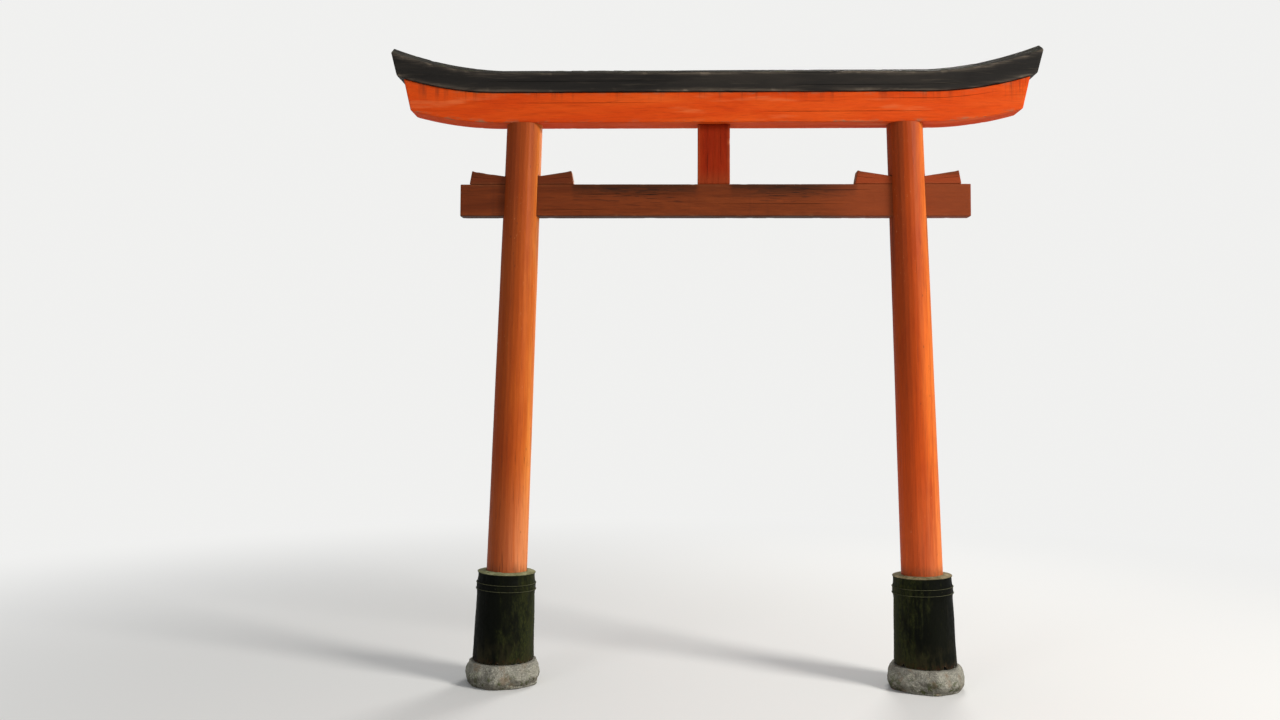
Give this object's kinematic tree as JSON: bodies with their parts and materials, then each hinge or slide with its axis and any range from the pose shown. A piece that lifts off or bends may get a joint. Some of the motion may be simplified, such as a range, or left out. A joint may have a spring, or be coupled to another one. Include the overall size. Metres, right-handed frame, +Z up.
{
  "type": "torii gate",
  "caption": "Walk-through torii gate with leaning round posts in sheet sleeves on base stones, a wedged tie beam, a centre strut and upswept lintels.",
  "frame": {"origin": "on the ground, at the flat underside of the left base stone, under the middle of the left post's foot", "axes": "+X along the gate towards the right post, +Y from front to back, +Z up"},
  "size_m": [3.2198, 0.3872, 3.139],
  "materials": {
    "base_stone": "rough weathered granite",
    "post_paint": "weathered vermilion paint, satin",
    "sleeve_sheet": "weathered black paint with moss",
    "cap_ring_sheet": "black paint under pale dust",
    "brown_timber": "weathered brown paint, matt",
    "red_timber": "weathered red-brown paint, matt",
    "lintel_paint": "vermilion paint, satin",
    "black_timber": "weathered black paint, matt"
  },
  "bodies": {
    "root": {"left_base_stone": "base_stone", "right_base_stone": "base_stone", "left_post": "post_paint", "right_post": "post_paint", "left_sleeve": "sleeve_sheet", "right_sleeve": "sleeve_sheet", "left_sleeve_collar": "sleeve_sheet", "right_sleeve_collar": "sleeve_sheet", "left_sleeve_hoop": "sleeve_sheet", "right_sleeve_hoop": "sleeve_sheet", "left_sleeve_cap_ring": "cap_ring_sheet", "right_sleeve_cap_ring": "cap_ring_sheet", "tie_beam": "brown_timber", "left_inner_wedge": "brown_timber", "left_outer_wedge": "brown_timber", "right_inner_wedge": "brown_timber", "right_outer_wedge": "brown_timber", "centre_strut": "red_timber", "lower_lintel": "lintel_paint", "top_lintel": "black_timber"}
  },
  "joints": []
}
